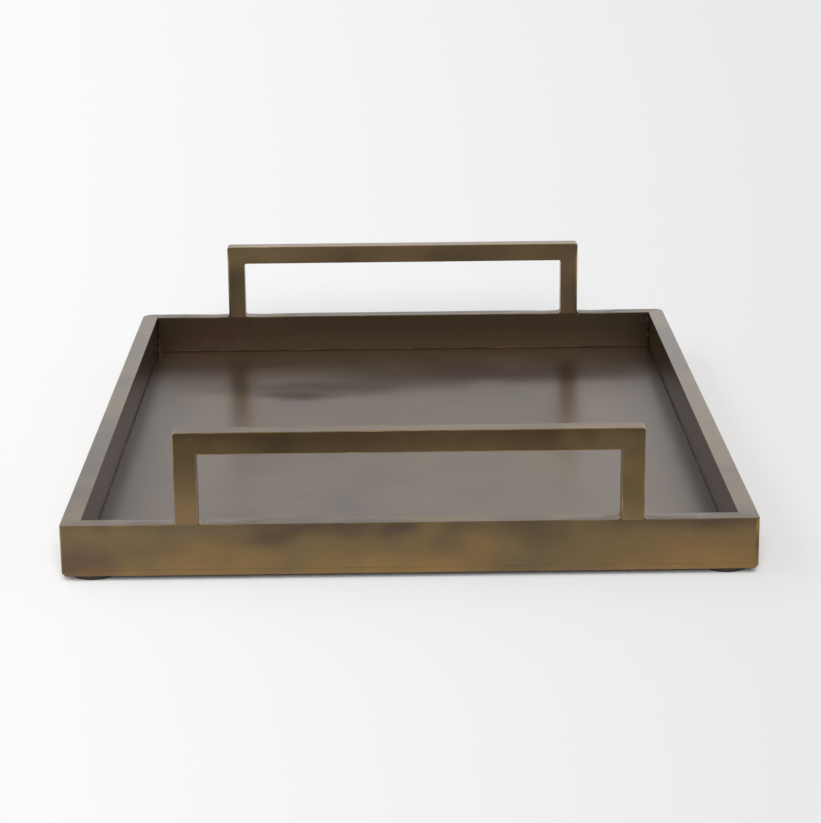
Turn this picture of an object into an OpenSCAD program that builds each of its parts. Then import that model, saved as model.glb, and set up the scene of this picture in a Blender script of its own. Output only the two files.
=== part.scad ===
// Rectangular serving tray of brazed brass bar with an upright handle on each end.
// The origin is the middle of the footprint on the table, +Z up and +Y towards the far end.

/* [Tray] */
// Outer width of the tray across the handles' ends
tray_w = 356; // [260:1:460]
// Outer length of the tray from one handle end to the other
tray_l = 457; // [300:1:600]
// Radius of the rounded outer corners, in plan
corner_r = 4.5; // [1:0.5:9]
// Thickness of the flat base plate
plate_t = 3; // [1.5:0.5:6]

/* [Rails] */
// Height of the rails above the base plate
rail_h = 24; // [12:0.5:45]
// Thickness of the rails, which the handles share
rail_t = 10; // [6:0.5:16]

/* [Handles] */
// Width of a handle over both posts
handle_w = 238; // [120:1:250]
// Height of a handle above the top of its rail
handle_rise = 48.5; // [36:0.5:80]
// Width of each upright post
post_w = 11.5; // [6:0.5:20]
// Height of the level grip bar
grip_h = 11.5; // [6:0.5:20]

/* [Braze] */
// Leg of the bead along the seam of floor and rail
floor_bead = 1; // [0.5:0.1:2]
// Leg of the bead up each inner corner of the rails
corner_bead = 1.6; // [0.6:0.1:3]
// Leg of the fillets at the foot of each handle post
post_bead = 1.5; // [0.6:0.1:3]
// Leg of the fillets in the inner corners of each handle
grip_bead = 1.2; // [0.6:0.1:3]

/* [Feet] */
// Diameter of a rubber foot
foot_d = 24; // [12:0.5:30]
// Height of a rubber foot without its adhesive
foot_h = 3.5; // [2:0.25:8]
// Radius of the rounded lower edge of a foot
foot_edge_r = 0.8; // [0.4:0.1:1.8]
// Distance from a side of the tray to a foot's centre
foot_inset_x = 15; // [12:0.5:40]
// Distance from an end of the tray to a foot's centre
foot_inset_y = 16.5; // [12:0.5:40]
// Thickness of the adhesive disc above a foot
adhesive_t = 0.4; // [0.2:0.1:1]
// How far the adhesive disc stays inside the foot's edge
adhesive_inset = 0.5; // [0:0.25:2]

/* [Hidden] */

// Facets that the round parts are drawn with
$fn = 64;
// How far a cutting shape runs past what it cuts
over = 1;

// Heights from the table up
plate_z = foot_h + adhesive_t;
floor_z = plate_z + plate_t;
rail_top_z = floor_z + rail_h;
handle_top_z = rail_top_z + handle_rise;

// Inside of the tray between the rails
well_w = tray_w - 2 * rail_t;
well_l = tray_l - 2 * rail_t;

// Sides of the tray: left and near are -1, right and far are +1
left = -1;
right = 1;
near = -1;
far = 1;

// A block with rounded upright edges, standing on the XY plane about the Z axis
module rounded_block(w, l, h, r) {
    translate([-w / 2 + r, -l / 2, 0]) cube([w - 2 * r, l, h]);
    translate([-w / 2, -l / 2 + r, 0]) cube([w, l - 2 * r, h]);
    for (x = [-1, 1], y = [-1, 1])
        translate([x * (w / 2 - r), y * (l / 2 - r), 0]) cylinder(r = r, h = h);
}

// Two of a thing, turned end for end: the near one as drawn, the far one opposite
module at_end(end) {
    mirror([0, end == far ? 1 : 0, 0]) children();
}

// A thing drawn on the left side, or its twin on the right
module at_side(side) {
    mirror([side == right ? 1 : 0, 0, 0]) children();
}

module base_plate() {
    color("#8c8478")
        translate([0, 0, plate_z]) rounded_block(tray_w, tray_l, plate_t, corner_r);
}

// The whole border of rails as one ring, before it is cut at the mitres
module rail_ring() {
    difference() {
        rounded_block(tray_w, tray_l, rail_h, corner_r);
        translate([-well_w / 2, -well_l / 2, -over]) cube([well_w, well_l, rail_h + 2 * over]);
    }
}

// A rail across an end, mitred at both corners
module end_rail(end) {
    inner = rail_t + over;
    color("#6f5c3c") translate([0, 0, floor_z]) at_end(end) intersection() {
        rail_ring();
        translate([0, 0, -over]) linear_extrude(rail_h + 2 * over) polygon([
            [-tray_w / 2 - over, -tray_l / 2 - over],
            [tray_w / 2 + over, -tray_l / 2 - over],
            [tray_w / 2 - inner, -tray_l / 2 + inner],
            [-tray_w / 2 + inner, -tray_l / 2 + inner],
        ]);
    }
}

// A rail along a side, mitred at both corners
module side_rail(side) {
    inner = rail_t + over;
    color("#6f5c3c") translate([0, 0, floor_z]) at_side(side) intersection() {
        rail_ring();
        translate([0, 0, -over]) linear_extrude(rail_h + 2 * over) polygon([
            [-tray_w / 2 - over, -tray_l / 2 - over],
            [-tray_w / 2 + inner, -tray_l / 2 + inner],
            [-tray_w / 2 + inner, tray_l / 2 - inner],
            [-tray_w / 2 - over, tray_l / 2 + over],
        ]);
    }
}

// Bar stock cut to an outline seen from the end, as thick as the rail it stands on
module bar_outline(end, outline) {
    at_end(end) translate([0, -tray_l / 2 + rail_t, 0]) rotate([90, 0, 0])
        linear_extrude(rail_t) polygon(outline);
}

// An upright post, mitred at its top to meet the grip
module handle_post(end, side) {
    color("#6b5a3c") at_side(side) bar_outline(end, [
        [-handle_w / 2, rail_top_z],
        [-handle_w / 2 + post_w, rail_top_z],
        [-handle_w / 2 + post_w, handle_top_z - grip_h],
        [-handle_w / 2, handle_top_z],
    ]);
}

// The level grip, mitred at both ends
module handle_grip(end) {
    color("#5c4b32") bar_outline(end, [
        [-handle_w / 2, handle_top_z],
        [-handle_w / 2 + post_w, handle_top_z - grip_h],
        [handle_w / 2 - post_w, handle_top_z - grip_h],
        [handle_w / 2, handle_top_z],
    ]);
}

// Small fillets on both sides of a post's foot
module post_braze(end, side) {
    color("#b08d4f") at_side(side) {
        bar_outline(end, [
            [-handle_w / 2, rail_top_z],
            [-handle_w / 2, rail_top_z + post_bead],
            [-handle_w / 2 - post_bead, rail_top_z],
        ]);
        bar_outline(end, [
            [-handle_w / 2 + post_w, rail_top_z],
            [-handle_w / 2 + post_w + post_bead, rail_top_z],
            [-handle_w / 2 + post_w, rail_top_z + post_bead],
        ]);
    }
}

// Small fillet in the inner corner of post and grip
module grip_braze(end, side) {
    grip_z = handle_top_z - grip_h;
    color("#b08d4f") at_side(side) bar_outline(end, [
        [-handle_w / 2 + post_w, grip_z],
        [-handle_w / 2 + post_w, grip_z - grip_bead],
        [-handle_w / 2 + post_w + grip_bead, grip_z],
    ]);
}

// Upright three-sided bead in a near left inner corner
module corner_bead_solid() {
    translate([-well_w / 2, -well_l / 2, floor_z]) linear_extrude(rail_h)
        polygon([[0, 0], [corner_bead, 0], [0, corner_bead]]);
}

// Bead up the inner corner of two rails, from the floor to the rim
module corner_braze(end, side) {
    color("#b08d4f") at_end(end) at_side(side) corner_bead_solid();
}

// Bead along the foot of a rail that is long and runs in X, at the near side of a well of depth span
module floor_bead_solid(long, span) {
    difference() {
        translate([-long / 2, -span / 2, floor_z]) rotate([90, 0, 90]) linear_extrude(long)
            polygon([[0, 0], [floor_bead, 0], [0, floor_bead]]);
        // mitres to the beads of the neighbouring rails
        for (x = [-1, 1]) scale([x, 1, 1])
            translate([long / 2, -span / 2, floor_z - over]) rotate([0, 0, 135])
                translate([0, -2 * rail_t, 0]) cube([2 * rail_t, 2 * rail_t, rail_h]);
    }
}

module floor_braze_end(end) {
    color("#a98a52") difference() {
        at_end(end) floor_bead_solid(well_w, well_l);
        for (side = [left, right]) at_end(end) at_side(side) corner_bead_solid();
    }
}

module floor_braze_side(side) {
    color("#a98a52") difference() {
        at_side(side) rotate([0, 0, -90]) floor_bead_solid(well_l, well_w);
        for (end = [near, far]) at_end(end) at_side(side) corner_bead_solid();
    }
}

// Puts a thing under one corner of the tray
module at_foot(end, side) {
    x = side * (tray_w / 2 - foot_inset_x);
    y = end * (tray_l / 2 - foot_inset_y);
    translate([x, y, 0]) children();
}

// Round rubber foot with a rounded lower edge
module foot(end, side) {
    foot_r = foot_d / 2;
    color("#2b2928") at_foot(end, side) {
        cylinder(r = foot_r - foot_edge_r, h = foot_h);
        translate([0, 0, foot_edge_r]) cylinder(r = foot_r, h = foot_h - foot_edge_r);
        translate([0, 0, foot_edge_r]) rotate_extrude()
            translate([foot_r - foot_edge_r, 0]) circle(r = foot_edge_r);
    }
}

// Thin disc that sticks a foot to the plate
module adhesive(end, side) {
    color("#d8d4c8") at_foot(end, side)
        translate([0, 0, foot_h]) cylinder(d = foot_d - 2 * adhesive_inset, h = adhesive_t);
}

base_plate();
end_rail(near);  // rail_near
end_rail(far);  // rail_far
side_rail(left);  // rail_left
side_rail(right);  // rail_right
handle_post(near, left);  // near_handle_left_post
handle_post(near, right);  // near_handle_right_post
handle_grip(near);  // near_handle_grip
handle_post(far, left);  // far_handle_left_post
handle_post(far, right);  // far_handle_right_post
handle_grip(far);  // far_handle_grip
corner_braze(near, left);  // corner_braze_near_left
corner_braze(near, right);  // corner_braze_near_right
corner_braze(far, left);  // corner_braze_far_left
corner_braze(far, right);  // corner_braze_far_right
floor_braze_end(near);  // floor_braze_near
floor_braze_end(far);  // floor_braze_far
floor_braze_side(left);  // floor_braze_left
floor_braze_side(right);  // floor_braze_right
post_braze(near, left);  // post_braze_near_left
post_braze(near, right);  // post_braze_near_right
post_braze(far, left);  // post_braze_far_left
post_braze(far, right);  // post_braze_far_right
grip_braze(near, left);  // grip_braze_near_left
grip_braze(near, right);  // grip_braze_near_right
grip_braze(far, left);  // grip_braze_far_left
grip_braze(far, right);  // grip_braze_far_right
foot(near, left);  // foot_near_left
foot(near, right);  // foot_near_right
foot(far, left);  // foot_far_left
foot(far, right);  // foot_far_right
adhesive(near, left);  // adhesive_near_left
adhesive(near, right);  // adhesive_near_right
adhesive(far, left);  // adhesive_far_left
adhesive(far, right);  // adhesive_far_right
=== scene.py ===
"""A rectangular serving tray brazed up from brass bar and sheet, then antiqued, brushed and lacquered.

Everything is in metres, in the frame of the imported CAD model: +Z up, the near end at -Y, the origin
on the table in the middle of the tray.
"""
import math

import bmesh
import bpy
from mathutils import Matrix, Vector, noise


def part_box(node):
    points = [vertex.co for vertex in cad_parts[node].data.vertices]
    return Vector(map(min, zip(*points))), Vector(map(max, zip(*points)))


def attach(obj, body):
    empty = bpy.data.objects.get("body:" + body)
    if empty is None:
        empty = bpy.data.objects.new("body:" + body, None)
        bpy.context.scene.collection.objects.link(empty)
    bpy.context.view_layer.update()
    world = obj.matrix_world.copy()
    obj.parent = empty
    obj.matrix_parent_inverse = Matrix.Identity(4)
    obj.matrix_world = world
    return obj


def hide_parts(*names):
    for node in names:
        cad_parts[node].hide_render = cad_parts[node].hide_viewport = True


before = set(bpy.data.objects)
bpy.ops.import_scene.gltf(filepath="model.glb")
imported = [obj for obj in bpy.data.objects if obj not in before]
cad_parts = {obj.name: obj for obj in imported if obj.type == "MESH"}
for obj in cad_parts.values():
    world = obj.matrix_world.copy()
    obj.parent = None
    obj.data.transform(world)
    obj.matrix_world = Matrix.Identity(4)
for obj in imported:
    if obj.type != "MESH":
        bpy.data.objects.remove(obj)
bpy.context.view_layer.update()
scene = bpy.context.scene

MM = 0.001

# ---------------------------------------------------------------- sizes read off the CAD model

plate_low, plate_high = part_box("base_plate")
rail_low, rail_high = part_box("rail_near")
post_low, post_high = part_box("near_handle_left_post")
grip_low, grip_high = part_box("near_handle_grip")

half_w = plate_high.x
half_l = plate_high.y
plate_z = plate_low.z
floor_z = plate_high.z
rim_z = rail_high.z
bar = rail_high.y - rail_low.y              # thickness of the rails and handles
handle_half = -post_low.x                   # half of a handle's width
post_w = post_high.x - post_low.x
grip_z = grip_low.z                         # underside of the grip
handle_z = grip_high.z
well_half_w = half_w - bar
well_half_l = half_l - bar

# Shapes that a box can't tell. The upright corners of the tray were each ground by hand
CORNER_R = {("near", "left"): 2.2 * MM, ("near", "right"): 2.0 * MM,
            ("far", "left"): 7.0 * MM, ("far", "right"): 5.5 * MM}
HANDLE_CORNER_R = 1.6 * MM    # outer corners of the handles, seen from an end
HANDLE_BACK_R = 1.6 * MM      # upright edges of the handles on the tray's side
CORNER_STEPS = 14             # flats that make up a rounded corner of the tray
PLATE_SIDE_R = 1.8 * MM       # lower edge of the plate along both sides
EDGE_R = 0.3 * MM             # edges broken with a file
SEAM_R = 0.06 * MM            # edges on both sides of the seam of plate and rails
WAVE = 0.05 * MM              # gentle waves that hand grinding left in the tops of the bars
WAVE_FREQUENCY = 22           # of those waves, in turns per metre
HOLLOW = 0.35 * MM            # deepest part of the hollow that the grinder left beside a post
HOLLOW_PLACE = 11 * MM        # its distance from the post
HOLLOW_REACH = 10 * MM        # how far from there it fades out
GROUND_EDGE = 3 * MM          # over this length the grinding starts from nothing
DISH = 0.12 * MM              # how far brazing pulled the sheet out of flat
DISH_EDGE = 30 * MM           # over this length from the walls it starts
DISH_FREQUENCY = 7            # of the dishing, in turns per metre
GRID = 12 * MM                # longest face along a bar
TINY = 0.01 * MM              # less than any real distance between two places
WELD = 0.001 * MM             # points closer than this are one
SHARP = math.radians(40)      # edges that turn by more than this get rounded
CREASE = math.radians(14)     # surfaces that still meet at more than this are shaded apart
ALONG = 0.9                   # share of a direction along an axis from which it counts as along it
ACROSS = 0.2                  # share up to which it counts as across it
UPWARD = 0.3                  # share from which a face counts as looking up or down

END_SIGN = {"near": -1, "far": 1}
SIDE_SIGN = {"left": -1, "right": 1}


# ---------------------------------------------------------------- camera

def camera_matrix(place, yaw, pitch, roll):
    """Where the camera stands and how it is turned: yaw towards +X, pitch down, roll clockwise."""
    ahead = Vector((math.sin(yaw) * math.cos(pitch), math.cos(yaw) * math.cos(pitch), -math.sin(pitch)))
    level = Vector((math.cos(yaw), -math.sin(yaw), 0))
    up = level.cross(ahead)
    right = math.cos(roll) * level + math.sin(roll) * up
    top = -math.sin(roll) * level + math.cos(roll) * up
    return Matrix.Translation(place) @ Matrix((right, top, -ahead)).transposed().to_4x4()


lens = bpy.data.cameras.new("camera")
lens.sensor_width = 36
lens.lens = 106.4
lens.clip_end = 100
camera = bpy.data.objects.new("camera", lens)
camera.matrix_world = camera_matrix(Vector((-8.3, -1399.6, 422.0)) * MM,
                                    math.radians(0.448), math.radians(15.862), math.radians(-0.565))
scene.collection.objects.link(camera)
scene.camera = camera
scene.view_settings.view_transform = "Standard"


# ---------------------------------------------------------------- colours and nodes

def colour(code):
    """An sRGB hex colour as linear red, green, blue and alpha."""
    parts = [int(code[i:i + 2], 16) / 255 for i in (1, 3, 5)]
    return [c / 12.92 if c <= 0.04045 else ((c + 0.055) / 1.055) ** 2.4 for c in parts] + [1.0]


def node(tree, kind, inputs=None, **settings):
    """Adds a node with its settings; an input takes a value, a socket or another node's first output."""
    made = tree.nodes.new(kind)
    for name, value in settings.items():
        setattr(made, name, value)
    for key, value in (inputs or {}).items():
        if isinstance(value, bpy.types.Node):
            value = value.outputs[0]
        if isinstance(value, bpy.types.NodeSocket):
            tree.links.new(value, made.inputs[key])
        else:
            made.inputs[key].default_value = value
    return made


# Sockets of a Mix node by their numbers, because their names repeat
FACTOR = 0
VALUE_A, VALUE_B = 2, 3
COLOUR_A, COLOUR_B = 6, 7
MIXED_COLOUR = 2


def new_material(name):
    """An empty node material with its output node."""
    made = bpy.data.materials.new(name)
    made.use_nodes = True
    made.node_tree.nodes.clear()
    return made, made.node_tree, node(made.node_tree, "ShaderNodeOutputMaterial")


def set_ramp(ramp_node, places, tones):
    """Gives a colour ramp its stops: places from 0 to 1 and their hex colours."""
    ramp = ramp_node.color_ramp
    while len(ramp.elements) < len(places):
        ramp.elements.new(0.5)
    for element, place, tone in zip(ramp.elements, places, tones):
        element.position = place
        element.color = colour(tone)


# ---------------------------------------------------------------- materials

def inside_well(tree, place):
    """How far inside the tray's well a point is from the nearest wall, in metres; below 0 in the walls."""
    axes = node(tree, "ShaderNodeSeparateXYZ", {"Vector": place})
    from_middle_x = node(tree, "ShaderNodeMath", {0: axes.outputs["X"]}, operation="ABSOLUTE")
    from_middle_y = node(tree, "ShaderNodeMath", {0: axes.outputs["Y"]}, operation="ABSOLUTE")
    from_side = node(tree, "ShaderNodeMath", {0: well_half_w, 1: from_middle_x}, operation="SUBTRACT")
    from_end = node(tree, "ShaderNodeMath", {0: well_half_l, 1: from_middle_y}, operation="SUBTRACT")
    return node(tree, "ShaderNodeMath", {0: from_side, 1: from_end}, operation="MINIMUM")


def add_stain_or_painted_light(tree, millimetres, tint, centre, reach, code, strength):
    """A colour tinted by one stain or patch of painted light, a soft ellipsoid, and how strongly it is tinted
    at each point.
    """
    from_centre = node(tree, "ShaderNodeMapping", {
        "Vector": millimetres, "Scale": [1 / r for r in reach],
        "Location": [-c / r for c, r in zip(centre, reach)]})
    distance = node(tree, "ShaderNodeVectorMath", {0: from_centre}, operation="LENGTH")
    amount = node(tree, "ShaderNodeMapRange", {
        "Value": distance.outputs["Value"], "From Min": 0.1, "From Max": 1.0,
        "To Min": strength, "To Max": 0.0}, interpolation_type="SMOOTHSTEP")
    stained = node(tree, "ShaderNodeMix", {FACTOR: amount, COLOUR_A: tint, COLOUR_B: colour(code)},
                   data_type="RGBA")
    return stained.outputs[MIXED_COLOUR], amount


def take_lacquer_off(tree, lacquer_left, amount, loss):
    """What is left of the lacquer when the given share of it goes where amount is 1."""
    if not loss:
        return lacquer_left
    kept = node(tree, "ShaderNodeMapRange", {
        "Value": amount, "From Min": 0.0, "From Max": 1.0, "To Min": 1.0, "To Max": 1 - loss})
    return node(tree, "ShaderNodeMath", {0: lacquer_left, 1: kept}, operation="MULTIPLY")


# The outlines of stains and of patches of painted light both wander by these
PATCH_WANDER = (24, 24, 12)   # full swing of the outline of a stain, in mm
PATCH_WANDER_LENGTH = 30      # and the length over which it swings
LINE_SHADE = 0.035            # how much lighter or darker than the patina a brush line is
GLOSS_DRIFT = 0.02            # how far the roughness drifts with the clouds
LACQUER_ROUGHNESS = 0.25      # a brushed-on satin lacquer
BARE_PATINA = "#d8cfc8"       # dulls the patina at a grazing look where its lacquer is gone


def brushed_brass(name, brush_mm, across, tones, cloud_mm, roughness, anisotropy, line_depth,
                  lacquer=0.5, painted_light_fade=(0, 1, 0), painted_well_shade=None, stains_and_painted_light=()):
    """Brass brushed one way, darkened by patina and lacquered: a metal whose colour drifts in clouds.

    brush_mm is how far a brush line runs in X, Y and Z before it changes, and across is the direction
    over the lines, which is the way that they spread a reflection. lacquer is how much of the surface
    it covers. tones are the dark, middle and warm colours of the patina. painted_light_fade gives two
    heights and how much warmer and lighter the colour is painted at the first than at the second, a
    painted reflection that changes with height. painted_well_shade is painted shade near and on the
    walls of the well: the distances inside the well where it starts and is full, its colour, and the
    share of the lacquer taken off there. stains_and_painted_light are patches of colour: on the bars
    stains left by the torch and by the antiquing bath, on the floor painted light.
    """
    made, tree, out = new_material(name)
    place = node(tree, "ShaderNodeTexCoord").outputs["Object"]
    height = node(tree, "ShaderNodeSeparateXYZ", {"Vector": place}).outputs["Z"]
    millimetres = node(tree, "ShaderNodeMapping", {"Vector": place, "Scale": (1 / MM, 1 / MM, 1 / MM)})

    # Patina: clouds of tone, with a painted glow that makes it warmer and lighter at one height than at the
    # other, a painted reflection
    clouds = node(tree, "ShaderNodeTexNoise", {
        "Vector": millimetres, "Scale": 1 / cloud_mm, "Detail": 2, "Roughness": 0.5})
    warm_z, cool_z, change = painted_light_fade
    painted_glow = node(tree, "ShaderNodeMapRange", {
        "Value": height, "From Min": warm_z, "From Max": cool_z, "To Min": change, "To Max": -change})
    cloud_tone = node(tree, "ShaderNodeMath", {0: clouds, 1: painted_glow}, operation="ADD")
    patina = node(tree, "ShaderNodeValToRGB", {"Fac": cloud_tone})
    set_ramp(patina, (0.25, 0.5, 0.75), tones)
    patina.color_ramp.interpolation = "EASE"
    tint = patina.outputs["Color"]
    lacquer_left = 1.0

    # Painted shade: a darker tone near and on the walls of the well, below the rim, where some of the lacquer
    # is taken off too
    if painted_well_shade:
        start, full, code, loss = painted_well_shade
        depth = node(tree, "ShaderNodeMapRange", {
            "Value": inside_well(tree, place), "From Min": start, "From Max": full,
            "To Min": 0.0, "To Max": 1.0}, interpolation_type="SMOOTHSTEP")
        below_rim = node(tree, "ShaderNodeMath", {0: height, 1: rim_z - EDGE_R / 2}, operation="LESS_THAN")
        amount = node(tree, "ShaderNodeMath", {0: depth, 1: below_rim}, operation="MULTIPLY")
        tint = node(tree, "ShaderNodeMix", {FACTOR: amount, COLOUR_A: tint, COLOUR_B: colour(code)},
                    data_type="RGBA").outputs[MIXED_COLOUR]
        lacquer_left = take_lacquer_off(tree, lacquer_left, amount, loss)

    # Stains and patches of painted light, whose outlines wander by a few millimetres
    wander = node(tree, "ShaderNodeTexNoise", {
        "Vector": millimetres, "Scale": 1 / PATCH_WANDER_LENGTH, "Detail": 2})
    centred = node(tree, "ShaderNodeVectorMath", {0: wander.outputs["Color"], 1: (0.5, 0.5, 0.5)},
                   operation="SUBTRACT")
    patch_place = node(tree, "ShaderNodeVectorMath", {0: centred, 1: PATCH_WANDER, 2: millimetres},
                       operation="MULTIPLY_ADD")
    for centre, reach, code, strength, loss in stains_and_painted_light:
        tint, amount = add_stain_or_painted_light(tree, patch_place, tint, centre, reach, code, strength)
        lacquer_left = take_lacquer_off(tree, lacquer_left, amount, loss)

    # A brush line is really about 0.1 mm wide; here it is as wide as it has to be to show
    lines_place = node(tree, "ShaderNodeMapping", {
        "Vector": place, "Scale": tuple(1 / (mm * MM) for mm in brush_mm)})
    lines = node(tree, "ShaderNodeTexNoise", {"Vector": lines_place, "Scale": 1, "Detail": 2})
    line_shade = node(tree, "ShaderNodeMapRange", {
        "Value": lines, "From Min": 0.3, "From Max": 0.7, "To Min": 1 - LINE_SHADE, "To Max": 1 + LINE_SHADE})
    shaded = node(tree, "ShaderNodeMix", {FACTOR: 1.0, COLOUR_A: tint, COLOUR_B: line_shade},
                  data_type="RGBA", blend_type="MULTIPLY")
    bump = node(tree, "ShaderNodeBump", {"Height": lines, "Strength": 1.0, "Distance": line_depth})
    over_lines = node(tree, "ShaderNodeCombineXYZ", dict(zip("XYZ", across)))

    # Darker clouds are a little glossier than warm ones
    gloss = node(tree, "ShaderNodeMapRange", {
        "Value": clouds, "From Min": 0.2, "From Max": 0.8,
        "To Min": roughness - GLOSS_DRIFT, "To Max": roughness + GLOSS_DRIFT})
    metal = node(tree, "ShaderNodeBsdfPrincipled", {
        "Base Color": shaded.outputs[MIXED_COLOUR], "Metallic": 1.0, "Roughness": gloss,
        "Anisotropic": anisotropy, "Normal": bump, "Tangent": over_lines,
        "Coat Weight": lacquer, "Coat Roughness": LACQUER_ROUGHNESS})
    if isinstance(lacquer_left, bpy.types.Node):
        cover = node(tree, "ShaderNodeMath", {0: lacquer_left, 1: lacquer}, operation="MULTIPLY")
        tree.links.new(cover.outputs[0], metal.inputs["Coat Weight"])
        grazing = node(tree, "ShaderNodeMix", {
            FACTOR: lacquer_left, COLOUR_A: colour(BARE_PATINA), COLOUR_B: colour("#ffffff")},
            data_type="RGBA")
        tree.links.new(grazing.outputs[MIXED_COLOUR], metal.inputs["Specular Tint"])
    tree.links.new(metal.outputs["BSDF"], out.inputs["Surface"])
    return made


def burnished_edge(name, tones):
    """Edge where brushing cut through the patina to brighter brass, in patches of about a centimetre; on one
    upright corner the same brass is a painted highlight.
    """
    made, tree, out = new_material(name)
    place = node(tree, "ShaderNodeTexCoord").outputs["Object"]
    wear = node(tree, "ShaderNodeTexNoise", {"Vector": place, "Scale": 1 / (11 * MM), "Detail": 4})
    tint = node(tree, "ShaderNodeValToRGB", {"Fac": wear})
    set_ramp(tint, (0.35, 0.55, 0.7), tones)
    metal = node(tree, "ShaderNodeBsdfPrincipled", {
        "Base Color": tint, "Metallic": 1.0, "Roughness": 0.28})
    tree.links.new(metal.outputs["BSDF"], out.inputs["Surface"])
    return made


def braze_filler(name, blot_mm, roughness, tones):
    """Brass brazing rod, cleaned bright and then dulled by the same bath: a golden line with blots."""
    made, tree, out = new_material(name)
    place = node(tree, "ShaderNodeTexCoord").outputs["Object"]
    blots = node(tree, "ShaderNodeTexNoise", {"Vector": place, "Scale": 1 / (blot_mm * MM), "Detail": 3})
    tint = node(tree, "ShaderNodeValToRGB", {"Fac": blots})
    set_ramp(tint, (0.4, 0.55, 0.7), tones)
    bump = node(tree, "ShaderNodeBump", {"Height": blots, "Strength": 0.6, "Distance": 0.1 * MM})
    metal = node(tree, "ShaderNodeBsdfPrincipled", {
        "Base Color": tint, "Metallic": 1.0, "Roughness": roughness, "Normal": bump})
    tree.links.new(metal.outputs["BSDF"], out.inputs["Surface"])
    return made


def foot_rubber(name):
    """Moulded black rubber: matt near-black, with fine grey dust in its pores."""
    made, tree, out = new_material(name)
    place = node(tree, "ShaderNodeTexCoord").outputs["Object"]
    pores = node(tree, "ShaderNodeTexNoise", {"Vector": place, "Scale": 1 / (0.5 * MM), "Detail": 2})
    tint = node(tree, "ShaderNodeValToRGB", {"Fac": pores})
    set_ramp(tint, (0.3, 0.75), ("#161514", "#2c2a28"))
    bump = node(tree, "ShaderNodeBump", {"Height": pores, "Strength": 0.3, "Distance": 0.05 * MM})
    rubber = node(tree, "ShaderNodeBsdfPrincipled", {
        "Base Color": tint, "Roughness": 0.6, "IOR": 1.52, "Normal": bump})
    tree.links.new(rubber.outputs["BSDF"], out.inputs["Surface"])
    return made


def adhesive_film(name):
    """Clear acrylic mounting film, milky where air is caught in it."""
    made, tree, out = new_material(name)
    place = node(tree, "ShaderNodeTexCoord").outputs["Object"]
    air = node(tree, "ShaderNodeTexNoise", {"Vector": place, "Scale": 1 / (1.5 * MM), "Detail": 2})
    tint = node(tree, "ShaderNodeValToRGB", {"Fac": air})
    set_ramp(tint, (0.4, 0.65), ("#8d897f", "#b9b5aa"))
    film = node(tree, "ShaderNodeBsdfPrincipled", {"Base Color": tint, "Roughness": 0.4, "IOR": 1.47})
    tree.links.new(film.outputs["BSDF"], out.inputs["Surface"])
    return made


def paper(name):
    """Seamless white backdrop paper: matt, with painted light fall-off that makes it a little darker to the
    right as seen from in front.
    """
    viewpoint_y = -1.4        # the shade spreads like a fan from here
    least_distance = 0.8
    half_spread = 0.16        # sideways, for each metre of distance
    made, tree, out = new_material(name)
    place = node(tree, "ShaderNodeTexCoord").outputs["Object"]
    axes = node(tree, "ShaderNodeSeparateXYZ", {"Vector": place})
    ahead = node(tree, "ShaderNodeMath", {0: axes.outputs["Y"], 1: viewpoint_y}, operation="SUBTRACT")
    distance = node(tree, "ShaderNodeMath", {0: ahead, 1: least_distance}, operation="MAXIMUM")
    sideways = node(tree, "ShaderNodeMath", {0: axes.outputs["X"], 1: distance}, operation="DIVIDE")
    painted_light_fade = node(tree, "ShaderNodeMapRange", {
        "Value": sideways, "From Min": -half_spread, "From Max": half_spread, "To Min": 0.0, "To Max": 1.0})
    tint = node(tree, "ShaderNodeValToRGB", {"Fac": painted_light_fade})
    set_ramp(tint, (0.0, 1.0), ("#fcfcfc", "#ededed"))
    sheet = node(tree, "ShaderNodeBsdfPrincipled", {"Base Color": tint, "Roughness": 0.9})
    tree.links.new(sheet.outputs["BSDF"], out.inputs["Surface"])
    return made


# Patches of another colour: centre and reach in mm, colour, strength, and the share of the lacquer
# lost there. On the bars they are where the bath and the torch left the patina different; on the floor
# they are painted light. Two faces of the bars, as their Y in mm:
near_face = -half_l / MM
far_face = well_half_l / MM
# On the floor: a lighter band along the far wall that lifts the painted shade there, and darker patches with
# less lacquer across the far part, a painted reflection of the far wall and handle
floor_painted_light = [
    ((0, 216, 7), (380, 50, 20), "#b09a84", 0.95, 0),
    ((14, 145, 7), (120, 32, 20), "#5a4c41", 0.8, 0.8),
    ((102, 150, 7), (116, 32, 20), "#54463d", 0.8, 0.75),
    ((-46, 120, 7), (116, 27, 20), "#52453c", 0.8, 0.8),
    ((-68, 101, 7), (46, 14, 20), "#4c4038", 0.8, 0.9),
    ((-120, 142, 7), (50, 36, 20), "#66584b", 0.4, 0.6)]
end_stains = [
    ((-140, near_face, 25), (60, 6, 13), "#806c4a", 0.7, 0),
    ((-172, near_face, 11), (38, 6, 20), "#604839", 0.9, 0),
    ((-15, near_face, 29), (88, 6, 11), "#554537", 0.9, 0),
    ((-92, near_face, 29), (34, 6, 10), "#7a6447", 0.7, 0),
    ((-96, near_face, 15), (44, 6, 13), "#8a6c3f", 0.7, 0),
    ((-112, near_face, 7), (40, 6, 9), "#8c6d42", 0.6, 0),
    ((13, near_face, 18), (34, 6, 12), "#67543d", 0.8, 0),
    ((-60, near_face, 9), (16, 6, 9), "#6d5e42", 0.5, 0),
    ((-20, near_face, 8), (46, 6, 11), "#90713f", 0.6, 0),
    ((52, near_face, 9), (34, 6, 14), "#66573d", 0.7, 0),
    ((150, near_face, 16), (60, 6, 26), "#86683f", 0.6, 0),
    ((-128, far_face, 18), (54, 3, 22), "#5c4238", 0.8, 0)]
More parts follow.
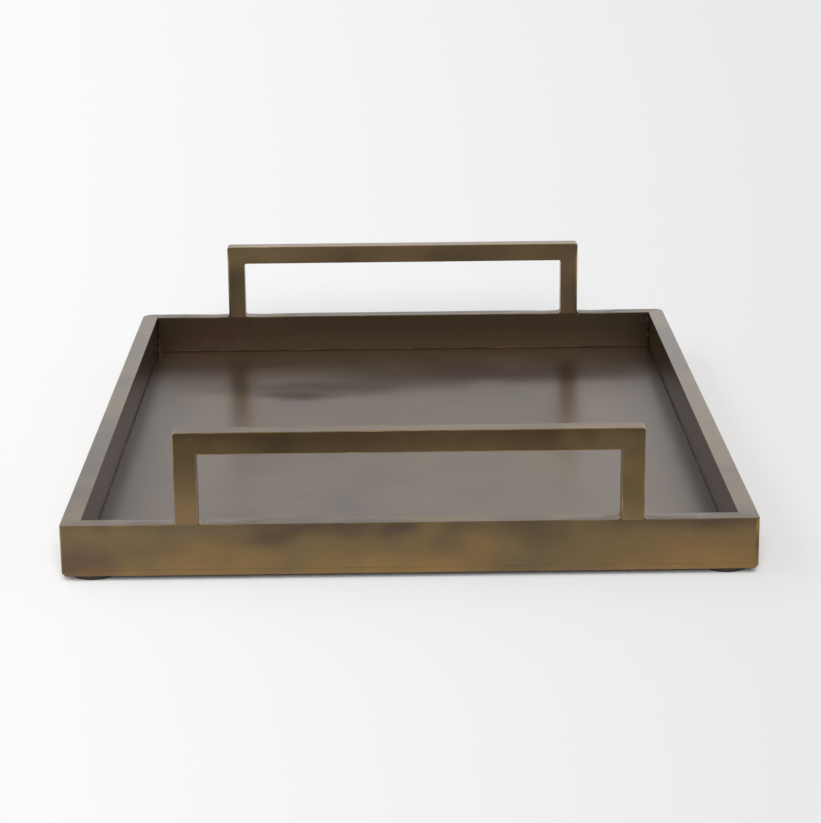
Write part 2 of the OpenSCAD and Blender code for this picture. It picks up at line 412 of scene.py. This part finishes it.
near_handle_stains = [
    ((-104, near_face, 72), (44, 6, 13), "#968158", 0.65, 0),
    ((104, near_face, 72), (46, 6, 15), "#9e8860", 0.65, 0),
    ((113, near_face, 46), (16, 6, 24), "#6e5b3d", 0.6, 0)]
far_handle_stains = [((-96, far_face, 76), (60, 8, 16), "#b79f76", 0.8, 0)]

# Sheet brass brushed across the tray: dull brown gold, with soft streaks from side to side, and painted shade
# towards the walls of the well
floor_brass = brushed_brass(
    "brushed antique brass sheet", brush_mm=(90, 0.9, 0.9), across=(0, 1, 0.2),
    tones=("#5a4b3e", "#6c5b48", "#76644d"), cloud_mm=60, roughness=0.3, anisotropy=0.4,
    line_depth=0.0015 * MM, lacquer=0.4, painted_well_shade=(55 * MM, -5 * MM, "#54483e", 0.12), stains_and_painted_light=floor_painted_light)

# Drawn brass bar: brown patina with a satin gloss; on the rails it is painted more golden lower down, a
# painted reflection, with painted shade on the walls inside the well
bar_finish = {"cloud_mm": 60, "roughness": 0.32, "anisotropy": 0.45, "line_depth": 0.001 * MM}
rail_tones = ("#584833", "#76623f", "#8c6e40")
# Ends and handles were brushed in short strokes along X, the side rails in long ones along Y
short_strokes = {"brush_mm": (4, 1, 1), "across": (0, 1, 1)}
long_strokes = {"brush_mm": (0.8, 60, 0.8), "across": (1, 0, 1)}
end_brass = brushed_brass(
    "patinated brass of the end rails", tones=rail_tones, lacquer=0.45, painted_light_fade=(plate_z, rim_z, 0.17),
    painted_well_shade=(-1.5 * MM, -0.2 * MM, "#5a4c39", 0), stains_and_painted_light=end_stains, **short_strokes, **bar_finish)
side_brass = brushed_brass(
    "patinated brass of the side rails", tones=rail_tones, painted_light_fade=(plate_z, rim_z, 0.12),
    painted_well_shade=(-1.5 * MM, -0.2 * MM, "#5c463a", 0.3), **long_strokes, **bar_finish)
# The handles have lighter tones than the rails and their own painted glow with height; the far one's still
# lighter tones are painted light, a lit copy of the same brass
handle_brass = {
    "near": brushed_brass(
        "patinated brass of the near handle", tones=("#66543e", "#826b4b", "#987c54"), lacquer=0.32,
        painted_light_fade=(grip_z - 10 * MM, handle_z - 4 * MM, 0.10), stains_and_painted_light=near_handle_stains,
        **short_strokes, **bar_finish),
    "far": brushed_brass(
        "patinated brass of the far handle", tones=("#705f48", "#8a765a", "#a08862"),
        painted_light_fade=(handle_z, rim_z, 0.08), stains_and_painted_light=far_handle_stains, **short_strokes, **bar_finish)}
# The inner sides of the posts and the undersides of the grips get a darker brown brass
inner_handle_brass = brushed_brass(
    "thick patina inside the handles", tones=("#3d3228", "#4a3d2f", "#5a4a37"),
    **short_strokes, **bar_finish)

# Bare brass: thin bright lines along the edges
# rail_edge also paints the highlight on the near right upright corner of the tray
rail_edge = burnished_edge("rubbed brass edge and painted corner highlight", ("#6b5537", "#84693f", "#a88650"))
handle_edge = burnished_edge("burnished brass edge", ("#7d6842", "#a98a52", "#cdab68"))

# Brass filler: golden at the posts, spotted up the corners, and duller along the floor
floor_braze = braze_filler("brass filler, dulled", 14, 0.5, ("#5c4d40", "#705d47", "#846b48"))
side_floor_braze = braze_filler("brass filler, darkened", 14, 0.5, ("#2e2620", "#3d3228", "#5e4a32"))
corner_braze = braze_filler("brass filler, spotted", 3, 0.33, ("#2a231c", "#4a3c2a", "#a88850"))
post_braze = braze_filler("brass filler, bright", 3, 0.33, ("#6a5537", "#977a4c", "#cdae74"))

rubber = foot_rubber("black moulded rubber")
film = adhesive_film("acrylic adhesive film")
backdrop = paper("seamless white paper")


# ---------------------------------------------------------------- mesh helpers

def grid_lines(places, step):
    """The places in order, with the spans between them cut into lengths of at most one step."""
    lines = []
    for low, high in zip(places, places[1:]):
        count = max(1, math.ceil((high - low) / step))
        lines += [low + (high - low) * i / count for i in range(count)]
    return lines + [places[-1]]


def mesh_of_cells(xs, ys, zs, filled):
    """A closed mesh round the filled cells of a grid; filled says whether the cell about a point is."""
    lines = (xs, ys, zs)
    bm = bmesh.new()
    corners = {}
    cells = set()
    for i in range(len(xs) - 1):
        for j in range(len(ys) - 1):
            for k in range(len(zs) - 1):
                if filled((xs[i] + xs[i + 1]) / 2, (ys[j] + ys[j + 1]) / 2, (zs[k] + zs[k + 1]) / 2):
                    cells.add((i, j, k))
    for cell in sorted(cells):
        for axis in range(3):
            for side in (0, 1):
                beside = list(cell)
                beside[axis] += 1 if side else -1
                if tuple(beside) in cells:
                    continue
                ring = [(0, 0), (1, 0), (1, 1), (0, 1)]
                if not side:
                    ring.reverse()
                face = []
                for step_u, step_v in ring:
                    at = list(cell)
                    at[axis] += side
                    at[(axis + 1) % 3] += step_u
                    at[(axis + 2) % 3] += step_v
                    key = tuple(at)
                    if key not in corners:
                        corners[key] = bm.verts.new([lines[a][key[a]] for a in range(3)])
                    face.append(corners[key])
                bm.faces.new(face)
    return bm


def upright_at(end, side):
    """Chooses the upright edges at one corner of the tray."""
    def chosen(middle, along):
        return (abs(along.z) > ALONG and middle.x * SIDE_SIGN[side] > half_w - TINY
                and middle.y * END_SIGN[end] > half_l - TINY)
    return chosen


def round_edges(bm, radius, segments, chosen, material=0):
    """Rounds the sharp convex edges whose middle point and direction are chosen."""
    bm.normal_update()
    edges = []
    for edge in bm.edges:
        if len(edge.link_faces) == 2 and edge.is_convex and edge.calc_face_angle() > SHARP:
            a, b = (v.co for v in edge.verts)
            if chosen((a + b) / 2, (b - a).normalized()):
                edges.append(edge)
    bmesh.ops.bevel(bm, geom=edges, offset=radius, offset_type="OFFSET", segments=segments, profile=0.5,
                    affect="EDGES", clamp_overlap=False, loop_slide=True, material=material)


def make_piece(name, bm, materials, nodes=()):
    """A finished piece: its faces outward, its materials, and the CAD nodes that it stands for."""
    bmesh.ops.remove_doubles(bm, verts=bm.verts, dist=WELD)
    bmesh.ops.recalc_face_normals(bm, faces=bm.faces)
    mesh = bpy.data.meshes.new(name)
    bm.to_mesh(mesh)
    bm.free()
    for polygon in mesh.polygons:
        polygon.use_smooth = True
    mesh.set_sharp_from_angle(angle=CREASE)
    for material in materials:
        mesh.materials.append(material)
    piece = bpy.data.objects.new(name, mesh)
    scene.collection.objects.link(piece)
    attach(piece, "root")
    if nodes:
        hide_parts(*nodes)
    return piece


# ---------------------------------------------------------------- rails and handles

# Places of the materials on a bar
BRASS, EDGE, INNER_FACE = range(3)


def bar_at(x, y, z):
    """Whether the border of rails or a handle fills this point."""
    in_end = abs(y) > well_half_l
    if z < rim_z:
        return in_end or abs(x) > well_half_w
    if not in_end or abs(x) > handle_half:
        return False
    return z > grip_z or abs(x) > handle_half - post_w


def both_ways(*places):
    """Places on both sides of the middle, in order."""
    return sorted([-p for p in places] + list(places))


def brazed_frame():
    """All rails and both handles as one body, ground flush and with their edges broken."""
    xs = grid_lines(both_ways(handle_half - post_w, handle_half, well_half_w, half_w), GRID)
    ys = grid_lines(both_ways(well_half_l, half_l), GRID)
    zs = grid_lines([floor_z, rim_z, grip_z, handle_z], GRID)
    bm = mesh_of_cells(xs, ys, zs, bar_at)

    def at_handle_corner(middle, along):
        return abs(along.y) > ALONG and middle.z > handle_z - TINY and abs(middle.x) > handle_half - TINY

    def at_handle_back(middle, along):
        return (abs(along.z) > ALONG and middle.z > rim_z + TINY and abs(middle.x) > handle_half - TINY
                and abs(middle.y) < well_half_l + TINY)

    def above_seam(middle, along):
        return middle.z > floor_z + TINY

    def on_outer_seam(middle, along):
        outside = abs(middle.x) > well_half_w + TINY or abs(middle.y) > well_half_l + TINY
        return middle.z < floor_z + TINY and outside

    for corner, radius in CORNER_R.items():
        # One corner gets the brighter edge brass, a painted highlight of the paper that it mirrors
        finish = EDGE if corner == ("near", "right") else BRASS
        round_edges(bm, radius, CORNER_STEPS, upright_at(*corner), material=finish)
    round_edges(bm, HANDLE_CORNER_R, 4, at_handle_corner)
    round_edges(bm, HANDLE_BACK_R, 5, at_handle_back)
    round_edges(bm, EDGE_R, 3, above_seam, material=EDGE)
    round_edges(bm, SEAM_R, 1, on_outer_seam)
    return bm


def split_frame(bm):
    """Cuts the body along its mitres, so that each face lies on one bar."""
    nearby = 2.5              # a mitre cuts only the faces within this many bar widths of its corner
    cuts = []
    for sx in (-1, 1):
        for sy in (-1, 1):
            corner = Vector((sx * half_w, sy * half_l, rim_z))
            cuts.append((corner, Vector((sx, -sy, 0)).normalized(), nearby * bar))
            handle_corner = Vector((sx * handle_half, sy * half_l, handle_z))
            mitre = Vector((-sx * post_w, 0, -(handle_z - grip_z)))
            normal = mitre.cross(Vector((0, 1, 0))).normalized()
            cuts.append((handle_corner, normal, nearby * post_w))
    for point, normal, reach in cuts:
        faces = [f for f in bm.faces if (f.calc_center_median() - point).length < reach]
        edges = dict.fromkeys(e for f in faces for e in f.edges)
        verts = dict.fromkeys(v for f in faces for v in f.verts)
        bmesh.ops.bisect_plane(bm, geom=[*verts, *edges, *faces], dist=WELD / 10,
                               plane_co=point, plane_no=normal)


def bar_name(centre):
    """The bar that a face of the split body belongs to."""
    end = "near" if centre.y < 0 else "far"
    side = "left" if centre.x < 0 else "right"
    if centre.z > rim_z + TINY:
        from_side = (handle_half - abs(centre.x)) / post_w
        from_top = (handle_z - centre.z) / (handle_z - grip_z)
        return f"{end}_handle_{side}_post" if from_side < from_top else f"{end}_handle_grip"
    from_side = half_w - abs(centre.x)
    from_end = half_l - abs(centre.y)
    return f"rail_{end}" if from_end < from_side else f"rail_{side}"


def hand_ground(point):
    """How far hand grinding took a top surface down: gentle waves, and hollows beside the handle posts."""
    wave = WAVE * (1 + noise.noise(Vector((point.x * WAVE_FREQUENCY, point.y * WAVE_FREQUENCY, 4.2))))
    if abs(point.y) < well_half_l - bar or point.z > rim_z + TINY:
        return wave
    from_post = max(abs(point.x) - handle_half, handle_half - post_w - abs(point.x))
    hollow = HOLLOW * math.exp(-((from_post - HOLLOW_PLACE) / HOLLOW_REACH) ** 2)
    return (wave + hollow) * min(1, max(0, from_post / GROUND_EDGE))


def grind_tops(part, upright):
    """Lowers the top surfaces of a bar by what hand grinding took off; a post keeps its foot."""
    for vert in part.verts:
        in_grip = vert.co.z > grip_z
        if vert.co.z > grip_z + MM or (vert.co.z > rim_z - GROUND_EDGE and not upright):
            above = vert.co.z - (grip_z if in_grip else rim_z - GROUND_EDGE)
            vert.co.z -= hand_ground(vert.co) * min(1, above / GROUND_EDGE)


def faces_handle_opening(face):
    """Whether a face looks into a handle's opening."""
    middle = face.calc_center_median()
    inward = face.normal.x * middle.x < 0 and abs(face.normal.x) > ALONG
    on_post = inward and abs(middle.x) < handle_half - post_w / 2
    under_grip = face.normal.z < -ALONG
    return on_post or under_grip


def build_bars():
    """Takes the body apart into rails, posts and grips, each closed where it was cut."""
    body = brazed_frame()
    split_frame(body)
    names = sorted({bar_name(f.calc_center_median()) for f in body.faces})
    for name in names:
        part = body.copy()
        others = [f for f in part.faces if bar_name(f.calc_center_median()) != name]
        bmesh.ops.delete(part, geom=others, context="FACES")
        bmesh.ops.holes_fill(part, edges=[e for e in part.edges if e.is_boundary], sides=0)
        grind_tops(part, name.endswith("post"))
        for face in part.faces:
            face.normal_update()
            if face.normal.z > UPWARD:
                face.material_index = BRASS
            elif name.endswith(("post", "grip")) and faces_handle_opening(face):
                face.material_index = INNER_FACE
        if name.startswith("rail"):
            brass = end_brass if name in ("rail_near", "rail_far") else side_brass
            make_piece(name.replace("rail_", "rail_bar_"), part, [brass, rail_edge], [name])
        else:
            metals = [handle_brass[name.split("_")[0]], handle_edge, inner_handle_brass]
            make_piece(name + "_bar", part, metals, [name])
    body.free()


build_bars()


# ---------------------------------------------------------------- base plate

def build_plate():
    """The flat sheet that the rails stand on, its corners ground round with them."""
    xs = grid_lines(both_ways(well_half_w, half_w), GRID)
    ys = grid_lines(both_ways(well_half_l, half_l), GRID)
    bm = mesh_of_cells(xs, ys, [plate_z, floor_z], lambda x, y, z: True)

    def under_side(middle, along):
        return middle.z < plate_z + TINY and abs(along.y) > ACROSS

    def level(middle, along):
        return abs(along.z) < ACROSS

    for corner, radius in CORNER_R.items():
        round_edges(bm, radius, CORNER_STEPS, upright_at(*corner))
    round_edges(bm, PLATE_SIDE_R, 5, under_side)
    round_edges(bm, SEAM_R, 2, level)
    for vert in bm.verts:
        inside = min(well_half_w - abs(vert.co.x), well_half_l - abs(vert.co.y))
        if inside > 0 and vert.co.z > floor_z - TINY:
            # The sheet is never quite flat after brazing
            dish = noise.noise(Vector((vert.co.x * DISH_FREQUENCY, vert.co.y * DISH_FREQUENCY, 1.3)))
            vert.co.z += DISH * dish * min(1, inside / DISH_EDGE)
    metals = [floor_brass, end_brass, side_brass]
    for face in bm.faces:
        face.normal_update()
        if abs(face.normal.z) < UPWARD:
            at_end = abs(face.normal.y) > abs(face.normal.x)
            face.material_index = metals.index(end_brass if at_end else side_brass)
    make_piece("base_sheet", bm, metals, ["base_plate"])


build_plate()


# ---------------------------------------------------------------- brazed beads

BEAD_HOLLOW = 0.45            # how far from the corner the face is drawn in to, as a share of the leg
BEAD_RIPPLE = 0.45            # the most that a bead thins, as a share of its section
BEAD_RIPPLE_LENGTH = 4 * MM
BEAD_STEP = 1 * MM            # length of one step along the bead
# Seeds of the ripples: of the floor beads at the ends, the other joints, and the floor beads at the sides
FIRST_SEED = {"end": 10, "corner": 20, "post": 30, "grip": 50, "side": 70}


def bead_tree():
    """Geometry Nodes that lay a hollow-faced, slightly rippled bead of filler along a path in a corner."""
    tree = bpy.data.node_groups.new("brazed bead", "GeometryNodeTree")
    tree.interface.new_socket("Path", in_out="INPUT", socket_type="NodeSocketGeometry")
    for name, kind in (("Out Of Corner", "NodeSocketVector"), ("Leg", "NodeSocketFloat"),
                       ("Step", "NodeSocketFloat"), ("Ripple", "NodeSocketFloat"),
                       ("Ripple Length", "NodeSocketFloat"), ("Seed", "NodeSocketFloat"),
                       ("Metal", "NodeSocketMaterial")):
        tree.interface.new_socket(name, in_out="INPUT", socket_type=kind)
    tree.interface.new_socket("Bead", in_out="OUTPUT", socket_type="NodeSocketGeometry")
    inputs = node(tree, "NodeGroupInput").outputs
    # The bead's section: two legs along the walls and a hollow face, about the corner point
    half_leg = node(tree, "ShaderNodeMath", {0: inputs["Leg"], 1: math.sqrt(0.5)}, operation="MULTIPLY")
    other_leg = node(tree, "ShaderNodeMath", {0: half_leg, 1: -1.0}, operation="MULTIPLY")
    hollow = node(tree, "ShaderNodeMath", {0: inputs["Leg"], 1: BEAD_HOLLOW}, operation="MULTIPLY")
    leg_a = node(tree, "ShaderNodeCombineXYZ", {"X": half_leg, "Y": half_leg})
    leg_b = node(tree, "ShaderNodeCombineXYZ", {"X": half_leg, "Y": other_leg})
    face_middle = node(tree, "ShaderNodeCombineXYZ", {"X": hollow})
    face = node(tree, "GeometryNodeCurveQuadraticBezier",
                {"Resolution": 6, "Start": leg_a, "Middle": face_middle, "End": leg_b})
    wall_a = node(tree, "GeometryNodeCurvePrimitiveLine", {"Start": (0, 0, 0), "End": leg_a})
    wall_b = node(tree, "GeometryNodeCurvePrimitiveLine", {"Start": leg_b, "End": (0, 0, 0)})
    outline = node(tree, "GeometryNodeJoinGeometry")
    for part in (wall_b, face, wall_a):
        tree.links.new(part.outputs[0], outline.inputs[0])
    outline_mesh = node(tree, "GeometryNodeCurveToMesh", {"Curve": outline})
    closed = node(tree, "GeometryNodeMergeByDistance", {"Geometry": outline_mesh, "Distance": WELD})
    section = node(tree, "GeometryNodeMeshToCurve", {"Mesh": closed})
    # The path, with the section turned to face out of the corner
    path = node(tree, "GeometryNodeMeshToCurve", {"Mesh": inputs["Path"]})
    stepped = node(tree, "GeometryNodeResampleCurve", {"Curve": path, "Length": inputs["Step"]},
                   mode="LENGTH")
    turned = node(tree, "GeometryNodeSetCurveNormal",
                  {"Curve": stepped, "Normal": inputs["Out Of Corner"]}, mode="FREE")
    # The ripple only ever makes the bead thinner, so it stays within its size
    place = node(tree, "GeometryNodeInputPosition")
    spread = node(tree, "ShaderNodeMath", {0: 1.0, 1: inputs["Ripple Length"]}, operation="DIVIDE")
    waves = node(tree, "ShaderNodeTexNoise",
                 {"Vector": place, "W": inputs["Seed"], "Scale": spread, "Detail": 1}, noise_dimensions="4D")
    swing = node(tree, "ShaderNodeMath", {0: waves, 1: 1.0}, operation="SUBTRACT")
    ripple = node(tree, "ShaderNodeMath", {0: swing, 1: inputs["Ripple"], 2: 1.0}, operation="MULTIPLY_ADD")
    bead = node(tree, "GeometryNodeCurveToMesh",
                {"Curve": turned, "Profile Curve": section, "Scale": ripple, "Fill Caps": True})
    whole = node(tree, "GeometryNodeRealizeInstances", {"Geometry": bead})
    painted = node(tree, "GeometryNodeSetMaterial", {"Geometry": whole, "Material": inputs["Metal"]})
    node(tree, "NodeGroupOutput", {"Bead": painted})
    return tree


beads = bead_tree()


def lay_bead(name, paths, leg, metal, replaced, seed):
    """Beads along straight paths, each given by its two ends and its direction out of the corner.

    Each has a ripple of its own, which its seed fixes.
    """
    bm = bmesh.new()
    for start, end, out_of_corner in paths:
        stock_mesh = bpy.data.meshes.new("bead path")
        stock_mesh.from_pydata([start, end], [(0, 1)], [])
        stock = bpy.data.objects.new("bead path", stock_mesh)
        scene.collection.objects.link(stock)
        modifier = stock.modifiers.new("bead", "NODES")
        modifier.node_group = beads
        values = {"Out Of Corner": Vector(out_of_corner).normalized(), "Leg": leg, "Step": BEAD_STEP,
                  "Ripple": BEAD_RIPPLE, "Ripple Length": BEAD_RIPPLE_LENGTH, "Seed": float(seed),
                  "Metal": metal}
        for socket in beads.interface.items_tree:
            if socket.name in values:
                modifier[socket.identifier] = values[socket.name]
        bpy.context.view_layer.update()
        evaluated = stock.evaluated_get(bpy.context.evaluated_depsgraph_get())
        laid = bpy.data.meshes.new_from_object(evaluated)
        bm.from_mesh(laid)
        stock.modifiers.clear()
        bpy.data.objects.remove(stock)
        bpy.data.meshes.remove(laid)
        seed += 1
    make_piece(name, bm, [metal], [replaced])


def size_of(node_name, axis):
    """A CAD node's size along an axis."""
    low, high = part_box(node_name)
    return high[axis] - low[axis]


def build_beads():
    """Every brazed joint: along the floor, up the corners, and at the foot and head of each post."""
    floor_leg = size_of("floor_braze_near", 2)
    corner_leg = size_of("corner_braze_near_left", 0)
    post_leg = size_of("post_braze_near_left", 2)
    grip_leg = size_of("grip_braze_near_left", 2)
    for number, (end, sy) in enumerate(END_SIGN.items()):
        y = sy * well_half_l
        front = sy * (half_l - EDGE_R)
        back = sy * (well_half_l + EDGE_R)
        lay_bead(f"floor_bead_{end}",
                 [((-well_half_w, y, floor_z), (well_half_w, y, floor_z), (0, -sy, 1))],
                 floor_leg, floor_braze, f"floor_braze_{end}",
                 FIRST_SEED["end"] + number)
        for side, sx in SIDE_SIGN.items():
            x = sx * well_half_w
            outer = sx * handle_half
            inner = sx * (handle_half - post_w)
            lay_bead(f"corner_bead_{end}_{side}",
                     [((x, y, floor_z), (x, y, rim_z - EDGE_R), (-sx, -sy, 0))],
                     corner_leg, corner_braze, f"corner_braze_{end}_{side}",
                     FIRST_SEED["corner"] + 2 * number + sx)
            lay_bead(f"post_fillet_{end}_{side}",
                     [((outer, front, rim_z), (outer, back, rim_z), (sx, 0, 1)),
                      ((inner, front, rim_z), (inner, back, rim_z), (-sx, 0, 1))],
                     post_leg, post_braze, f"post_braze_{end}_{side}",
                     FIRST_SEED["post"] + 4 * number + 2 * sx)
            lay_bead(f"grip_fillet_{end}_{side}",
                     [((inner, front, grip_z), (inner, back, grip_z), (-sx, 0, -1))],
                     grip_leg, floor_braze, f"grip_braze_{end}_{side}",
                     FIRST_SEED["grip"] + 2 * number + sx)
    for side, sx in SIDE_SIGN.items():
        x = sx * well_half_w
        lay_bead(f"floor_bead_{side}",
                 [((x, -well_half_l, floor_z), (x, well_half_l, floor_z), (-sx, 0, 1))],
                 floor_leg, side_floor_braze, f"floor_braze_{side}",
                 FIRST_SEED["side"] + sx)


build_beads()


# ---------------------------------------------------------------- feet

def build_foot(end, side):
    """A stuck-on rubber foot turned from its outline: flat base, rounded lower edge, thin lip on top."""
    low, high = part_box(f"foot_{end}_{side}")
    centre = (low + high) / 2
    radius = (high.x - low.x) / 2
    height = high.z - low.z
    edge = 0.8 * MM           # radius of the lower edge
    lip = 0.35 * MM           # width and height of one step of the lip
    outline = [(0, 0)]
    outline += [(radius - edge + edge * math.sin(a), edge - edge * math.cos(a))
                for a in (math.radians(15 * i) for i in range(7))]
    outline += [(radius, height - 2.4 * lip), (radius - lip / 2, height - 2 * lip),
                (radius - lip / 2, height - lip), (radius - lip, height), (0, height)]
    bm = bmesh.new()
    ring = [bm.verts.new((centre.x + r, centre.y, low.z + z)) for r, z in outline]
    edges = [bm.edges.new(pair) for pair in zip(ring, ring[1:])]
    bmesh.ops.spin(bm, geom=ring + edges, cent=(centre.x, centre.y, low.z), axis=(0, 0, 1),
                   angle=math.tau, steps=72, use_merge=True)
    make_piece(f"rubber_foot_{end}_{side}", bm, [rubber], [f"foot_{end}_{side}"])


def finish_adhesive(end, side):
    """Gives the disc of adhesive over a foot its material; the disc itself stays as it is."""
    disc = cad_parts[f"adhesive_{end}_{side}"]
    disc.data.materials.clear()
    disc.data.materials.append(film)


for end in END_SIGN:
    for side in SIDE_SIGN:
        build_foot(end, side)
        finish_adhesive(end, side)


# ---------------------------------------------------------------- floor, light and surroundings

def lay_paper(name, low, high, mirrored):
    """A flat piece of paper on the table between two corners; mirrored says whether the brass shows it."""
    mesh = bpy.data.meshes.new(name)
    mesh.from_pydata([(low[0], low[1], 0), (high[0], low[1], 0), (high[0], high[1], 0), (low[0], high[1], 0)],
                     [], [(0, 1, 2, 3)])
    mesh.materials.append(backdrop)
    sheet = bpy.data.objects.new(name, mesh)
    sheet.visible_glossy = mirrored
    scene.collection.objects.link(sheet)


PAPER_HALF_WIDTH = 6
PAPER_BACK = 8
MIRRORED_FROM = -0.39         # only the paper behind this line shows in the brass
PAPER_FRONT = -8
lay_paper("paper", (-PAPER_HALF_WIDTH, MIRRORED_FROM), (PAPER_HALF_WIDTH, PAPER_BACK), True)
lay_paper("paper_in_front", (-PAPER_HALF_WIDTH, PAPER_FRONT), (PAPER_HALF_WIDTH, MIRRORED_FROM), False)


def strip_light(name, place, aim, width, length, power):
    """A long soft box beside the tray, along Y, aimed at a point.

    The brass doesn't mirror it, so it lights only the paper and the feet.
    """
    light = bpy.data.lights.new(name, "AREA")
    light.shape = "RECTANGLE"
    light.size = width
    light.size_y = length
    light.energy = power
    box = bpy.data.objects.new(name, light)
    out = (Vector(place) - Vector(aim)).normalized()
    along = Vector((0, 1, 0))
    turned = Matrix((along.cross(out), along, out)).transposed().to_4x4()
    box.matrix_world = Matrix.Translation(place) @ turned
    box.visible_glossy = False
    scene.collection.objects.link(box)


def front_scrim(name, direction, degrees, strength):
    """Light through a large white scrim in front of the table, soft over the given angle.

    The brass doesn't mirror it, so it lights only the paper and the feet.
    """
    light = bpy.data.lights.new(name, "SUN")
    light.angle = math.radians(degrees)
    light.energy = strength
    scrim = bpy.data.objects.new(name, light)
    scrim.rotation_mode = "QUATERNION"
    scrim.rotation_quaternion = Vector(direction).to_track_quat("-Z", "Y")
    scrim.visible_glossy = False
    scene.collection.objects.link(scrim)


strip_light("left strip", place=(-2.6, 0.5, 2.6), aim=(0, 0.5, 0), width=1.2, length=8.0, power=30)
front_scrim("front scrim", direction=(0.0, 0.84, -0.56), degrees=32, strength=4.22)


def build_world():
    """White studio: bright behind the tray and low in front of it, dark overhead and below in front."""
    ahead_of_tray, overhead = 1.25, 0.25
    behind_left, behind_right = 0.78, 0.95
    fill_on_paper, seen = 0.15, 0.88
    world = bpy.data.worlds.new("studio")
    world.use_nodes = True
    scene.world = world
    tree = world.node_tree
    tree.nodes.clear()
    sky = node(tree, "ShaderNodeTexCoord").outputs["Generated"]
    direction = node(tree, "ShaderNodeSeparateXYZ", {"Vector": sky})

    # In front: dark below the horizon, bright above it, and darker again overhead
    horizon = node(tree, "ShaderNodeMapRange", {
        "Value": direction.outputs["Z"], "From Min": -0.02, "From Max": 0.12,
        "To Min": 0.0, "To Max": ahead_of_tray}, interpolation_type="SMOOTHSTEP")
    front = node(tree, "ShaderNodeMapRange", {
        "Value": direction.outputs["Z"], "From Min": 0.4, "From Max": 0.75,
        "To Min": horizon, "To Max": overhead}, interpolation_type="SMOOTHSTEP")

    # Behind: a little brighter on the right
    across = node(tree, "ShaderNodeMapRange", {
        "Value": direction.outputs["X"], "From Min": -0.3, "From Max": 0.3,
        "To Min": behind_left, "To Max": behind_right})
    mirrored = node(tree, "ShaderNodeMapRange", {
        "Value": direction.outputs["Y"], "From Min": -0.25, "From Max": 0.35,
        "To Min": front, "To Max": across}, interpolation_type="SMOOTHSTEP")

    # The paper gets only a little of this light, and is seen against an even white
    path = node(tree, "ShaderNodeLightPath")
    to_paper = node(tree, "ShaderNodeMix", {
        FACTOR: path.outputs["Is Diffuse Ray"], VALUE_A: mirrored, VALUE_B: fill_on_paper},
        data_type="FLOAT")
    strength = node(tree, "ShaderNodeMix", {
        FACTOR: path.outputs["Is Camera Ray"], VALUE_A: to_paper, VALUE_B: seen}, data_type="FLOAT")
    light = node(tree, "ShaderNodeBackground", {"Color": colour("#fdfdff"), "Strength": strength})
    node(tree, "ShaderNodeOutputWorld", {"Surface": light})


build_world()
